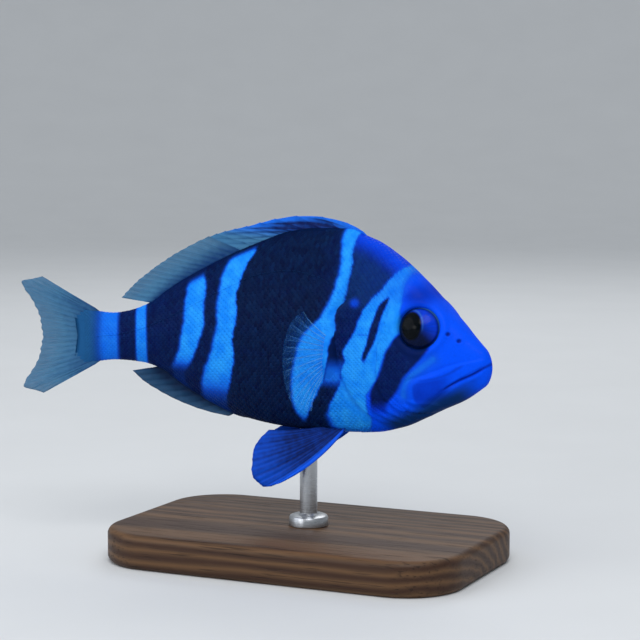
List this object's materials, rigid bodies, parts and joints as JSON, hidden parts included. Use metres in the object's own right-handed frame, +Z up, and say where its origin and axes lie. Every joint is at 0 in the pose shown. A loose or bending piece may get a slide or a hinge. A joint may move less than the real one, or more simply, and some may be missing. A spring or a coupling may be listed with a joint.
{
  "type": "indigo hamlet reef fish model",
  "caption": "Life-size still model of a blue-barred indigo hamlet reef fish, swimming with spread side fins, held by a rod on a flat wooden display base.",
  "frame": {"origin": "centre of the underside of the stand's base", "axes": "+X towards the fish's head along the stand's length, +Y towards the fish's left side, +Z up"},
  "size_m": [0.1152, 0.054, 0.0787],
  "materials": {
    "fish_skin": "wet fish skin with small scales, cobalt blue head, azure bars between near-black indigo bars",
    "blue_fin": "thin wet fin, indigo skin over rays, brighter blue leading edge",
    "clear_fin": "thin wet fin, see-through grey-blue skin between rays",
    "eye": "wet glossy eye, black pupil, dark iris with a cobalt blue arc",
    "stand_wood": "satin oiled dark walnut with eased edges",
    "stand_steel": "fine brushed round bar with a turned foot"
  },
  "bodies": {
    "root": {"head": "fish_skin", "torso": "fish_skin", "tail_stalk": "fish_skin", "dorsal_fin_spiny": "blue_fin", "dorsal_fin_soft": "clear_fin", "anal_fin": "clear_fin", "tail_fin": "clear_fin", "pectoral_fin_left": "clear_fin", "pectoral_fin_right": "clear_fin", "pelvic_fin_left": "blue_fin", "pelvic_fin_right": "blue_fin", "eye_left": "eye", "eye_right": "eye", "stand_base": "stand_wood", "stand_rod": "stand_steel"}
  },
  "joints": []
}
